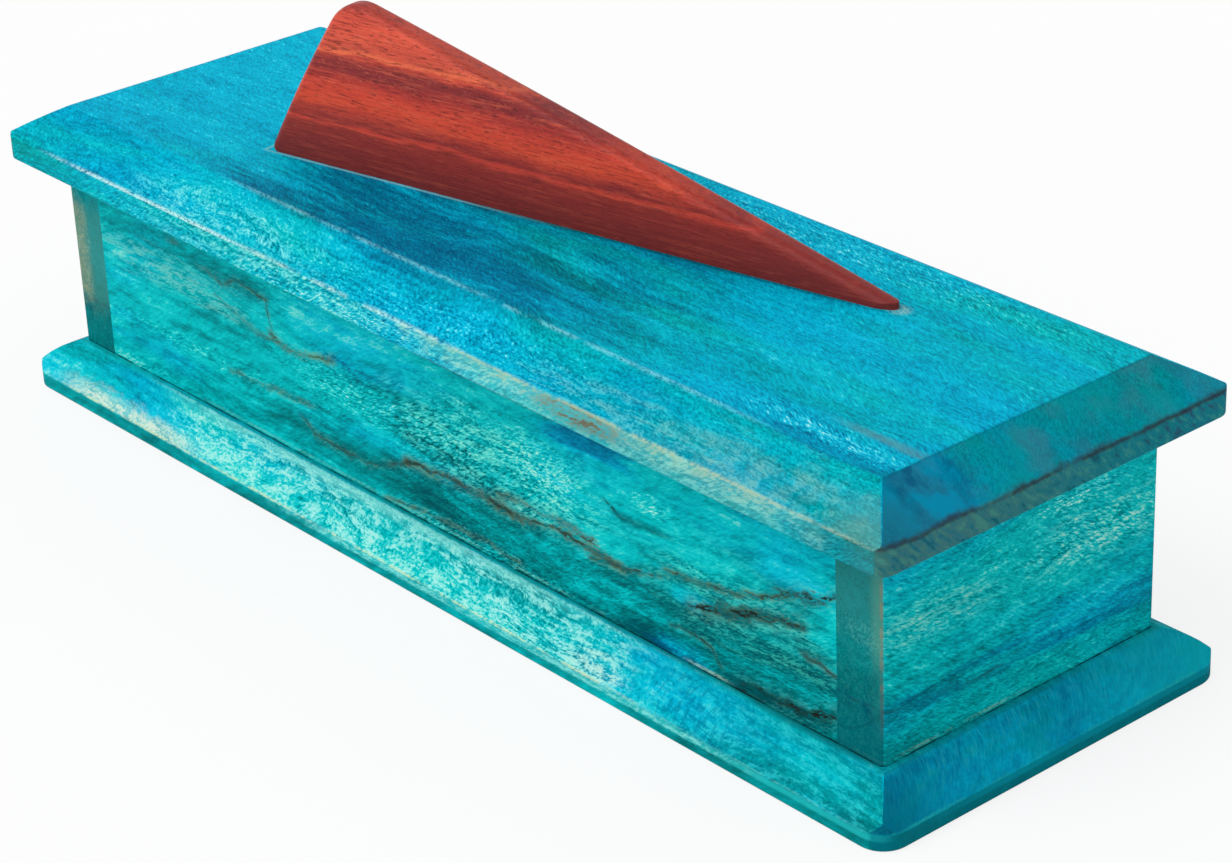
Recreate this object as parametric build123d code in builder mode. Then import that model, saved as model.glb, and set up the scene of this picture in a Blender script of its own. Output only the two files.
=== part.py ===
from build123d import *
import os
from math import atan, cos, degrees, radians, sin, tan

os.makedirs("parts", exist_ok=True)

# Lidded box of dyed wood with a red wedge handle. Millimetres, +Z up, +X to the right end,
# the front faces -Y, and the origin is the centre of the underside of the base board.

# Walls
body_length = 200.0
body_width = 56.0
wall_height = 35.0
wall_thickness = 9.0
wall_corner_radius = 0.8

# Base board
base_thickness = 8.2
base_overhang = 7.4
base_edge_height = 2.8
base_ledge = 0.8
base_bevel_bulge = 0.75
base_corner_radius = 4.5
base_arris = 0.5

# Lid board
lid_thickness = 9.4
lid_overhang = 7.2
lid_edge_height = 4.3
lid_bevel_width = 8.3
lid_bevel_bulge = 0.15
lid_corner_radius = 2.4
lid_arris = 0.5

# Panel under the lid that drops between the walls
panel_thickness = 4.5
panel_clearance = 0.5
panel_chamfer = 1.0

# Wedge handle, measured along its own axis from the middle of its blunt foot
handle_foot_x = -58.2
handle_foot_y = -7.9
handle_angle = 9.7
handle_length = 122.5
handle_width = 14.0
handle_height = 28.0
handle_rake = 14.4
handle_side_bulge = 0.9
handle_top_width = 4.4
handle_top_radius = 6.5
handle_edge_radius = 1.5
handle_tip_width = 3.2
handle_tip_height = 1.1
handle_nose_length = 7.0
handle_nose_allowance = 0.15

# Screws that hold the handle from below, through the panel and the lid
screw_positions = (31.0, 66.0)
screw_length = 22.0
screw_diameter = 3.0
screw_head_diameter = 5.6
screw_head_sink = 0.2
screw_point_length = 3.0
screw_tip_diameter = 0.6
screw_slot_width = 0.8
screw_slot_depth = 0.7
screw_clearance = 0.1
pilot_clearance = 0.02
pilot_spare_depth = 0.5
countersink_angle = 90.0

# Heights and spans that several pieces share
base_top = base_thickness
wall_top = base_top + wall_height
lid_top = wall_top + lid_thickness
panel_bottom = wall_top - panel_thickness
inner_length = body_length - 2 * wall_thickness
inner_width = body_width - 2 * wall_thickness


def board_profile(plane, span, thickness, edge_height, bevel_width, bulge):
    """Section of a board with a square edge and a slightly rounded bevel on both sides."""
    edge = span / 2
    flat = edge - bevel_width
    with BuildSketch(plane) as profile:
        with BuildLine():
            Polyline((0, 0), (edge, 0), (edge, edge_height))
            SagittaArc((edge, edge_height), (flat, thickness), -bulge)
            Line((flat, thickness), (0, thickness))
            mirror(about=Plane.YZ)
        make_face()
    return profile.sketch


def bevelled_board(
    underside, length, width, thickness, edge_height, bevel_width, bulge, corner_radius, arris
):
    """Board bevelled on four sides: two crossed sections, rounded in plan, with eased edges."""
    shape = (thickness, edge_height, bevel_width, bulge)
    centre = (0, 0, underside)
    long_section = board_profile(Plane(centre, Plane.XZ.x_dir, Plane.XZ.z_dir), length, *shape)
    cross_section = board_profile(Plane(centre, Plane.YZ.x_dir, Plane.YZ.z_dir), width, *shape)
    with BuildPart() as board:
        extrude(long_section, amount=width, both=True)
        extrude(cross_section, amount=length, both=True, mode=Mode.INTERSECT)
        with BuildSketch(Plane.XY.offset(underside)):
            RectangleRounded(length, width, corner_radius)
        extrude(amount=thickness, mode=Mode.INTERSECT)
        fillet(board.faces().sort_by(Axis.Z)[0].edges(), arris)
        bevel_foot = underside + edge_height - arris / 2
        bevel_edges = board.edges().filter_by(lambda edge: edge.center().Z > bevel_foot)
        fillet(bevel_edges.filter_by(lambda edge: edge.length > arris), arris)
    return board


# Base board
base_board = bevelled_board(
    0,
    body_length + 2 * base_overhang,
    body_width + 2 * base_overhang,
    base_thickness,
    base_edge_height,
    base_overhang - base_ledge,
    base_bevel_bulge,
    base_corner_radius,
    base_arris,
)
base_board.part.label = "base_board"
export_step(base_board.part, "parts/base_board.step")

# Front and back walls, which fit between the end walls
for name, side in (("front_wall", -1), ("back_wall", 1)):
    with BuildPart() as long_wall:
        with BuildSketch(Plane.XY.offset(base_top)):
            with Locations((0, side * (body_width - wall_thickness) / 2)):
                Rectangle(inner_length, wall_thickness)
        extrude(amount=wall_height)
    long_wall.part.label = name
    export_step(long_wall.part, f"parts/{name}.step")

# End walls, which run the full depth and show their end grain at the front
for name, side in (("left_end_wall", -1), ("right_end_wall", 1)):
    with BuildPart() as end_wall:
        with BuildSketch(Plane.XY.offset(base_top)):
            with Locations((side * (body_length - wall_thickness) / 2, 0)):
                Rectangle(wall_thickness, body_width)
        extrude(amount=wall_height)
        outer_face = end_wall.faces().filter_by(Axis.X).sort_by(Axis.X)[-1 if side > 0 else 0]
        fillet(outer_face.edges().filter_by(Axis.Z), wall_corner_radius)
    end_wall.part.label = name
    export_step(end_wall.part, f"parts/{name}.step")

# Where the handle stands, and its screws' points on the underside of the panel
handle_base = Plane(
    origin=(handle_foot_x, handle_foot_y, lid_top),
    x_dir=(cos(radians(handle_angle)), sin(radians(handle_angle)), 0),
    z_dir=(0, 0, 1),
)
screw_axes = [handle_base.location * Location((position, 0, 0)) for position in screw_positions]
screw_spots = [(axis.position.X, axis.position.Y) for axis in screw_axes]
clear_radius = screw_diameter / 2 + screw_clearance
countersink_slope = tan(radians(countersink_angle / 2))
countersink_radius = screw_head_diameter / 2 + screw_clearance + screw_head_sink * countersink_slope

# Lid board, with clearance holes for the screws
lid_board = bevelled_board(
    wall_top,
    body_length + 2 * lid_overhang,
    body_width + 2 * lid_overhang,
    lid_thickness,
    lid_edge_height,
    lid_bevel_width,
    lid_bevel_bulge,
    lid_corner_radius,
    lid_arris,
)
with lid_board:
    with Locations(*[(x, y, lid_top) for x, y in screw_spots]):
        Hole(clear_radius, depth=lid_thickness)
lid_board.part.label = "lid_board"
export_step(lid_board.part, "parts/lid_board.step")

# Panel glued under the lid, which drops between the walls and keeps the lid in place
panel_length = inner_length - 2 * panel_clearance
panel_width = inner_width - 2 * panel_clearance
with BuildPart() as lid_locating_panel:
    with BuildSketch(Plane.XY.offset(panel_bottom)):
        Rectangle(panel_length, panel_width)
    extrude(amount=panel_thickness)
    chamfer(lid_locating_panel.faces().sort_by(Axis.Z)[0].edges(), panel_chamfer)
    below = [Location((x, y, panel_bottom), (180, 0, 0)) for x, y in screw_spots]
    with Locations(*below):
        CounterSinkHole(clear_radius, countersink_radius, panel_thickness, countersink_angle)
lid_locating_panel.part.label = "lid_locating_panel"
export_step(lid_locating_panel.part, "parts/lid_locating_panel.step")


# Wedge handle: two bulging flanks that run in to the tip, a raked side view and a rounded nose
flank_inset = (handle_width - handle_top_width) / 2
flank_turn = degrees(atan((handle_width - handle_tip_width) / 2 / handle_length))
across = 2 * handle_width
nose_start = handle_length - handle_nose_length
nose_taper = (handle_width - handle_tip_width) / handle_length
nose_half_width = (handle_tip_width + nose_taper * handle_nose_length) / 2 + handle_nose_allowance


def flank_section(side):
    """Section square to one flank, bounded by its bulging face and open towards the other."""
    foot = handle_base.from_local_coords((0, side * handle_width / 2, 0))
    along = handle_base.x_dir.rotate(Axis.Z, -side * flank_turn)
    inwards = handle_base.z_dir.cross(along) * -side
    with BuildSketch(Plane(origin=foot, x_dir=inwards, z_dir=inwards.cross(handle_base.z_dir))) as section:
        with BuildLine():
            SagittaArc((0, 0), (flank_inset, handle_height), handle_side_bulge)
            Polyline((flank_inset, handle_height), (across, handle_height), (across, 0), (0, 0))
        make_face()
    return section.sketch


def along_handle(edge):
    """Distance of an edge's middle along the handle's axis."""
    return handle_base.to_local_coords(edge.center()).X


with BuildPart() as handle:
    extrude(flank_section(-1), amount=handle_length + across, both=True)
    extrude(flank_section(1), amount=handle_length + across, both=True, mode=Mode.INTERSECT)
    with BuildSketch(Plane(origin=handle_base.origin, x_dir=handle_base.x_dir, z_dir=-handle_base.y_dir)):
        with BuildLine():
            Polyline(
                (0, 0),
                (handle_rake, handle_height),
                (handle_length, handle_tip_height),
                (handle_length, 0),
                close=True,
            )
        make_face()
        fillet(vertices().sort_by(Axis.Y)[-1], handle_top_radius)
    extrude(amount=across, both=True, mode=Mode.INTERSECT)
    blunt_foot = handle.edges().sort_by(along_handle)[:1]
    raised_edges = handle.edges().filter_by(lambda edge: edge.center().Z > lid_top + handle_tip_height)
    fillet(raised_edges + blunt_foot, handle_edge_radius)
    with BuildSketch(handle_base):
        with BuildLine():
            EllipticalCenterArc(
                (nose_start, 0), handle_nose_length, nose_half_width, start_angle=-90, arc_size=180
            )
            Polyline(
                (nose_start, nose_half_width),
                (nose_start, across),
                (-across, across),
                (-across, -across),
                (nose_start, -across),
                (nose_start, -nose_half_width),
            )
        make_face()
    extrude(amount=handle_height, mode=Mode.INTERSECT)
    pilot_depth = screw_length + screw_head_sink - panel_thickness - lid_thickness + pilot_spare_depth
    with Locations(*[Location((x, y, lid_top), (180, 0, 0)) for x, y in screw_spots]):
        Hole(screw_diameter / 2 + pilot_clearance, depth=pilot_depth)
handle.part.label = "handle"
export_step(handle.part, "parts/handle.step")

# Two countersunk screws, slotted heads just inside the underside of the panel
head_radius = screw_head_diameter / 2
shank_radius = screw_diameter / 2
head_height = (head_radius - shank_radius) / countersink_slope

with BuildPart() as handle_screws:
    for x, y in screw_spots:
        head_level = panel_bottom + screw_head_sink
        with BuildSketch(Plane(origin=(x, y, head_level), x_dir=(1, 0, 0), z_dir=(0, -1, 0))):
            with BuildLine():
                Polyline(
                    (0, 0),
                    (head_radius, 0),
                    (shank_radius, head_height),
                    (shank_radius, screw_length - screw_point_length),
                    (screw_tip_diameter / 2, screw_length),
                    (0, screw_length),
                    close=True,
                )
            make_face()
        revolve(axis=Axis((x, y, head_level), (0, 0, 1)))
        with BuildSketch(Plane.XY.offset(head_level)):
            with Locations(Location((x, y), handle_angle)):
                Rectangle(screw_head_diameter, screw_slot_width)
        extrude(amount=screw_slot_depth, mode=Mode.SUBTRACT)
handle_screws.part.label = "handle_screws"
export_step(handle_screws.part, "parts/handle_screws.step")
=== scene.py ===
from math import cos, radians, sin

import bpy
from mathutils import Matrix, Vector


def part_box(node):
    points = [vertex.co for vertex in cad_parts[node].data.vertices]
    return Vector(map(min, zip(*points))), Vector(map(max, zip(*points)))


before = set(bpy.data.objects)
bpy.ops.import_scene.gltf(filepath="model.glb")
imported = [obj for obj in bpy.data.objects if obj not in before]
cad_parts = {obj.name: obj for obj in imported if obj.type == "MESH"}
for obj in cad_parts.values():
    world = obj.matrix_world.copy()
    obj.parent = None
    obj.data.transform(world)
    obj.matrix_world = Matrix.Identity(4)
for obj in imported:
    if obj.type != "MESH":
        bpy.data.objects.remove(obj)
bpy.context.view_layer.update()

MM = 0.001

# Places on the part, read from the frame, in millimetres
base_low, base_high = (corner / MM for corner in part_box("base_board"))
lid_low, lid_high = (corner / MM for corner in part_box("lid_board"))
wall_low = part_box("front_wall")[0] / MM
end_low, end_high = (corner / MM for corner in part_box("right_end_wall"))
handle_foot_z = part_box("handle")[0].z / MM

# The boards' square edges and the lid's bevel, as they are cut
lid_edge_height = 4.3
lid_bevel_width = 8.3
base_edge_height = 2.8
lid_edge_top = lid_low.z + lid_edge_height
lid_flat_front = lid_low.y + lid_bevel_width
base_edge_top = base_low.z + base_edge_height

# The handle's line across the lid, from the middle of its blunt foot, and its size
handle_foot = (-58.2, -7.9)
handle_angle = radians(9.7)
handle_length = 122.5
handle_height = 28.0
handle_half_width = 7.0
handle_tip_half_width = 1.6


def srgb(red, green, blue):
    """A colour written from 0 to 255, as the linear light that the shader takes."""
    def linear(value):
        share = value / 255
        return share / 12.92 if share <= 0.04045 else ((share + 0.055) / 1.055) ** 2.4

    return (linear(red), linear(green), linear(blue), 1.0)


# Dye over maple, from deep dye to wood that took almost none: a greenish and a bluish row
GREEN_DYE = (
    (0.0, srgb(0, 82, 90)),
    (0.25, srgb(0, 118, 120)),
    (0.45, srgb(0, 152, 156)),
    (0.6, srgb(0, 182, 186)),
    (0.75, srgb(14, 202, 202)),
    (0.9, srgb(104, 224, 210)),
    (1.0, srgb(184, 238, 222)),
)
BLUE_DYE = (
    (0.0, srgb(0, 82, 120)),
    (0.25, srgb(0, 116, 152)),
    (0.45, srgb(0, 150, 186)),
    (0.6, srgb(0, 178, 214)),
    (0.75, srgb(8, 198, 226)),
    (0.9, srgb(96, 222, 234)),
    (1.0, srgb(190, 240, 242)),
)
MAPLE = (
    (0.0, srgb(164, 124, 82)),
    (0.3, srgb(194, 158, 112)),
    (0.6, srgb(214, 184, 140)),
    (1.0, srgb(232, 210, 172)),
)

# The handle's level bands, from its foot to the height of its highest edge
HANDLE_BANDS = (
    (0.0, srgb(120, 42, 40)),
    (0.2, srgb(142, 46, 42)),
    (0.245, srgb(148, 48, 42)),
    (0.27, srgb(200, 66, 52)),
    (0.3, srgb(140, 44, 42)),
    (0.34, srgb(172, 56, 46)),
    (0.4, srgb(210, 72, 48)),
    (0.48, srgb(206, 68, 50)),
    (0.54, srgb(178, 56, 48)),
    (0.6, srgb(138, 46, 48)),
    (0.65, srgb(142, 48, 48)),
    (0.675, srgb(196, 70, 56)),
    (0.69, srgb(236, 110, 74)),
    (0.715, srgb(206, 82, 62)),
    (0.84, srgb(220, 84, 64)),
    (1.0, srgb(166, 56, 50)),
)

# Gloss of the oiled dyed wood and of the polished handle, as the shader's specular level
DYED_SPECULAR = 0.012
HANDLE_SPECULAR = 0.14

# Other colours on the dyed wood
SHADOW_LINE = srgb(10, 40, 42)
TAN = srgb(146, 176, 150)
OLIVE = srgb(104, 146, 116)
RED_BROWN = srgb(80, 78, 62)
SPALT_LINE = srgb(28, 32, 28)
RAW_WOOD = srgb(176, 134, 92)

# Depth of a patch that lies in one face, where its third radius doesn't matter
ANY_DEPTH = 9


class Graph:
    """One material's nodes, with short ways to add and join them. Lengths in it are millimetres."""

    def __init__(self, name):
        self.material = bpy.data.materials.new(name)
        self.material.use_nodes = True
        self.nodes = self.material.node_tree.nodes
        self.links = self.material.node_tree.links
        self.shader = self.nodes["Principled BSDF"]
        coordinates = self.nodes.new("ShaderNodeTexCoord")
        self.place = self.vector("MULTIPLY", coordinates.outputs["Object"], (1 / MM,) * 3)
        self.x, self.y, self.z = self.split(self.place)
        self.facing = self.split(coordinates.outputs["Normal"])

    def feed(self, socket, value):
        if isinstance(value, bpy.types.NodeSocket):
            self.links.new(value, socket)
        else:
            socket.default_value = value

    def math(self, operation, a, b=0.0, c=0.0, clamp=False):
        node = self.nodes.new("ShaderNodeMath")
        node.operation = operation
        node.use_clamp = clamp
        for socket, value in zip(node.inputs, (a, b, c)):
            self.feed(socket, value)
        return node.outputs[0]

    def add(self, a, b):
        return self.math("ADD", a, b)

    def minus(self, a, b):
        return self.math("SUBTRACT", a, b)

    def absolute(self, value):
        return self.math("ABSOLUTE", value)

    def scale(self, value, factor, offset):
        return self.math("MULTIPLY_ADD", value, factor, offset)

    def product(self, *values):
        total = values[0]
        for value in values[1:]:
            total = self.math("MULTIPLY", total, value)
        return total

    def swing(self, noise, size):
        """Noise turned into a number that swings about 0, by some tenths of size."""
        return self.scale(noise, size, -size / 2)

    def vector(self, operation, a, b=(0.0, 0.0, 0.0)):
        node = self.nodes.new("ShaderNodeVectorMath")
        node.operation = operation
        self.feed(node.inputs[0], a)
        self.feed(node.inputs[1], b)
        return node.outputs["Value" if operation == "LENGTH" else "Vector"]

    def split(self, vector):
        node = self.nodes.new("ShaderNodeSeparateXYZ")
        self.feed(node.inputs[0], vector)
        return tuple(node.outputs)

    def join(self, x, y, z):
        node = self.nodes.new("ShaderNodeCombineXYZ")
        for socket, value in zip(node.inputs, (x, y, z)):
            self.feed(socket, value)
        return node.outputs[0]

    def noise(self, vector, sizes, detail=2.0, roughness=0.5, seed=0.0):
        """Noise whose features are about as long as sizes, three lengths along the axes."""
        scaled = self.vector("MULTIPLY", vector, tuple(1 / size for size in sizes))
        moved = self.vector("ADD", scaled, (seed * 7.3, seed * 3.1, seed * 5.7))
        node = self.nodes.new("ShaderNodeTexNoise")
        self.feed(node.inputs["Vector"], moved)
        node.inputs["Scale"].default_value = 1.0
        node.inputs["Detail"].default_value = detail
        node.inputs["Roughness"].default_value = roughness
        return node.outputs[0]

    def rise(self, value, start, end):
        """Smoothly from 0 at start to 1 at end; start may be the larger."""
        node = self.nodes.new("ShaderNodeMapRange")
        node.interpolation_type = "SMOOTHSTEP"
        for name, number in (("Value", value), ("From Min", start), ("From Max", end)):
            self.feed(node.inputs[name], number)
        return node.outputs[0]

    def mix(self, share, a, b):
        node = self.nodes.new("ShaderNodeMix")
        node.data_type = "RGBA"
        self.feed(node.inputs[0], share)
        self.feed(node.inputs[6], a)
        self.feed(node.inputs[7], b)
        return node.outputs[2]

    def ramp(self, value, stops):
        """A colour that runs through the stops, pairs of position and colour."""
        node = self.nodes.new("ShaderNodeValToRGB")
        self.feed(node.inputs[0], value)
        elements = node.color_ramp.elements
        elements[0].position, elements[0].color = stops[0]
        elements[1].position, elements[1].color = stops[-1]
        for position, colour in stops[1:-1]:
            elements.new(position).color = colour
        return node.outputs[0]

    def band(self, value, middle, width):
        """1 at middle, falling to 0 half a width away on both sides."""
        away = self.absolute(self.minus(value, middle))
        return self.rise(away, width / 2, 0.0)

    def between(self, value, low, high, soft):
        """1 from low to high, with soft ends."""
        from_low = self.rise(value, low - soft, low + soft)
        return self.product(from_low, self.rise(value, high + soft, high - soft))

    def curve(self, value, points):
        """A height that changes with value, through points, straight between them."""
        low, high = points[0][0], points[-1][0]
        heights = [height for _, height in points]
        bottom, top = min(heights), max(heights)
        node = self.nodes.new("ShaderNodeFloatCurve")
        share = self.math("DIVIDE", self.minus(value, low), high - low, clamp=True)
        self.feed(node.inputs["Value"], share)
        curve = node.mapping.curves[0]
        while len(curve.points) < len(points):
            curve.points.new(0.5, 0.5)
        for point, (position, height) in zip(curve.points, points):
            point.location = ((position - low) / (high - low), (height - bottom) / (top - bottom))
            point.handle_type = "VECTOR"
        node.mapping.update()
        return self.scale(node.outputs[0], top - bottom, bottom)

    def finish(self, colour, roughness, height, depth):
        """Joins colour, roughness and a bump of depth millimetres to the shader."""
        self.feed(self.shader.inputs["Base Color"], colour)
        self.feed(self.shader.inputs["Roughness"], roughness)
        bump = self.nodes.new("ShaderNodeBump")
        bump.inputs["Strength"].default_value = 1.0
        bump.inputs["Distance"].default_value = depth * MM
        self.feed(bump.inputs["Height"], height)
        self.feed(self.shader.inputs["Normal"], bump.outputs[0])
        return self.material


class DyedWood(Graph):
    """Figured wood that took dye unevenly.

    The tone runs from 0, deep dye, to 1, nearly bare wood, and blue from 0, greenish, to 1, bluish.
    Both are sums of noise along the grain and of what tone_at and blue_at add in places. Grit is how
    much the finest flecks count: they lie at a slant to the grain. After dye() come the marks on top.
    """

    # Lengths of the figure's parts in millimetres: along the grain and twice across it
    SWAY = (34, 14, 14)
    CURL = (6.0, 2.6, 2.6)
    BLOTCH = (40, 7, 7)
    STREAK = (16, 1.5, 1.5)
    HUE = (48, 12, 12)
    FLECK = (2.2, 0.38, 0.5)
    DASH = (5.0, 0.6, 0.6)
    MOTTLE = (6.0, 1.8, 1.8)
    WOBBLE = (4.2, 4.2, 4.2)
    BREAKS = (7, 7, 7)

    def __init__(self, name, grain, seed, tone, blue, contrast, grit, slant=30, end_limits=(0.3, 0.5)):
        super().__init__(name)
        along_y = grain == "Y"
        wood = self.join(self.y, self.x, self.z) if along_y else self.place
        sway = self.swing(self.noise(wood, self.SWAY, 1.0, 0.4, seed + 1), 5.0)
        curl = self.swing(self.noise(wood, self.CURL, 2.0, 0.5, seed + 2), 0.9)
        bend = self.add(sway, curl)
        figure = self.vector("ADD", wood, self.join(0.0, bend, bend))
        self.blotch = self.noise(figure, self.BLOTCH, 3.0, 0.55, seed + 3)
        self.streak = self.noise(figure, self.STREAK, 4.0, 0.6, seed + 4)
        hue = self.noise(figure, self.HUE, 3.0, 0.6, seed + 6)
        along, side, up = self.split(figure)
        turn = radians(slant)
        height = self.minus(up, side)
        length = self.add(self.product(along, cos(turn)), self.product(height, sin(turn)))
        width = self.minus(self.product(height, cos(turn)), self.product(along, sin(turn)))
        flecks = self.join(length, width, self.add(up, side))
        self.fleck = self.noise(flecks, self.FLECK, 2.0, 0.65, seed + 5)
        self.dash = self.noise(figure, self.DASH, 2.0, 0.6, seed + 10)
        self.mottle = self.noise(flecks, self.MOTTLE, 4.0, 0.62, seed + 9)
        self.wobble = self.swing(self.noise(self.place, self.WOBBLE, 3.0, 0.65, seed + 7), 2.2)
        self.breaks = self.noise(self.place, self.BREAKS, 3.0, 0.7, seed + 8)
        normal = self.facing[1] if along_y else self.facing[0]
        self.end = self.rise(self.absolute(normal), *end_limits)
        uneven = self.add(self.swing(self.blotch, contrast), self.swing(self.streak, 0.72 * contrast))
        uneven = self.add(uneven, self.swing(self.mottle, 0.8 * contrast))
        calm = self.scale(self.end, -0.6, 1.0)
        self.tone = self.scale(uneven, calm, tone)
        self.blue = self.scale(self.swing(hue, 2.2), calm, blue)
        self.grit = grit
        self.ragged = self.add(self.swing(self.blotch, 2.0), self.swing(self.streak, 1.8))

    def patch(self, centre, radii, edge=1.1, ragged=True):
        """1 inside a spot round centre, with a soft and usually ragged outline."""
        away = self.vector("SUBTRACT", self.place, centre)
        spread = self.vector("LENGTH", self.vector("DIVIDE", away, radii))
        if ragged:
            spread = self.add(spread, self.ragged)
        return self.rise(spread, 1.0 + edge / 2, 1.0 - edge / 2)

    def tone_at(self, where, amount):
        self.tone = self.scale(where, amount, self.tone)

    def blue_at(self, where, amount):
        self.blue = self.scale(where, amount, self.blue)

    def grit_at(self, where, amount):
        self.grit = self.scale(where, amount, self.grit)

    def pale(self, where, amount=0.2, grit=1.2):
        """Wood that took little dye: paler, with strong flecks."""
        self.tone_at(where, amount)
        self.grit_at(where, grit)

    def dye(self, greens=GREEN_DYE, blues=BLUE_DYE):
        fine = self.add(self.swing(self.fleck, 1.05), self.swing(self.dash, 0.5))
        total = self.scale(fine, self.grit, self.tone)
        bluish = self.rise(self.blue, 0.0, 1.0)
        self.colour = self.mix(bluish, self.ramp(total, greens), self.ramp(total, blues))

    def paint(self, share, colour):
        self.colour = self.mix(share, self.colour, colour)

    def dapple(self, where, colour, share, cover=0.5):
        """A second colour in irregular small spots, over more of the wood the lower cover is."""
        spots = self.add(self.mottle, self.add(self.swing(self.fleck, 0.55), self.swing(self.dash, 0.7)))
        fine = self.add(self.fleck, self.swing(self.dash, 0.6))
        broken = self.scale(self.rise(fine, 0.36, 0.6), 0.65, 0.35)
        self.paint(self.product(where, self.rise(spots, cover - 0.1, cover + 0.14), broken, share), colour)

    def wear_and_highlight_line(self, value, middle, width, where, colour, strength=0.8, gaps=0.4):
        """A thin bright line along an edge, partly wear and partly painted highlight, broken along its
        length the more gaps is.
        """
        unbroken = self.rise(self.breaks, gaps - 0.04, gaps + 0.18)
        line = self.product(self.band(value, middle, width), unbroken, self.rise(self.fleck, 0.3, 0.56))
        self.paint(self.product(line, where, strength), colour)

    def stroke(self, along, across, points, thickness, colour=RED_BROWN, strength=0.8, halo=0.35):
        """A dark spalting line through points, wobbly and swelling, with a paler olive halo."""
        line = self.add(self.curve(along, points), self.wobble)
        away = self.absolute(self.minus(across, line))
        inside = self.between(along, points[0][0], points[-1][0], 1.2)
        speckle = self.rise(self.add(self.fleck, self.swing(self.streak, 1.0)), 0.42, 0.6)
        self.paint(self.product(self.rise(away, 5.0 * thickness, 0.0), inside, speckle, halo), OLIVE)
        swell = self.scale(self.rise(self.breaks, 0.34, 0.68), 1.9 * thickness, 0.4 * thickness)
        core = self.product(self.rise(self.minus(away, swell), 0.44, -0.26), inside)
        rough = self.rise(self.add(self.fleck, self.swing(self.dash, 0.8)), 0.38, 0.58)
        grain = self.scale(rough, 0.7, 0.14)
        self.paint(self.product(core, grain, strength, 0.85), colour)
        heart = self.rise(self.minus(away, self.product(swell, 0.45)), 0.32, -0.14)
        unbroken = self.product(self.rise(self.streak, 0.42, 0.56), self.rise(self.fleck, 0.3, 0.5))
        self.paint(self.product(heart, inside, unbroken, strength), SPALT_LINE)

    def foot_shadow_line(self, height):
        """A painted shadow line along the foot of a wall, where it meets the base, fainter in places."""
        share = self.scale(self.rise(self.breaks, 0.42, 0.58), 0.5, 0.42)
        self.paint(self.product(self.rise(self.z, height + 0.45, height + 0.12), share), SHADOW_LINE)

    def done(self, depth=0.05, gloss=0.55):
        """Satin surface with the fibres' relief."""
        relief = self.add(self.product(self.streak, 0.5), self.fleck)
        self.shader.inputs["Specular IOR Level"].default_value = DYED_SPECULAR
        roughness = self.scale(self.fleck, 0.3, gloss - 0.15)
        return self.finish(self.colour, roughness, relief, depth)


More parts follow.
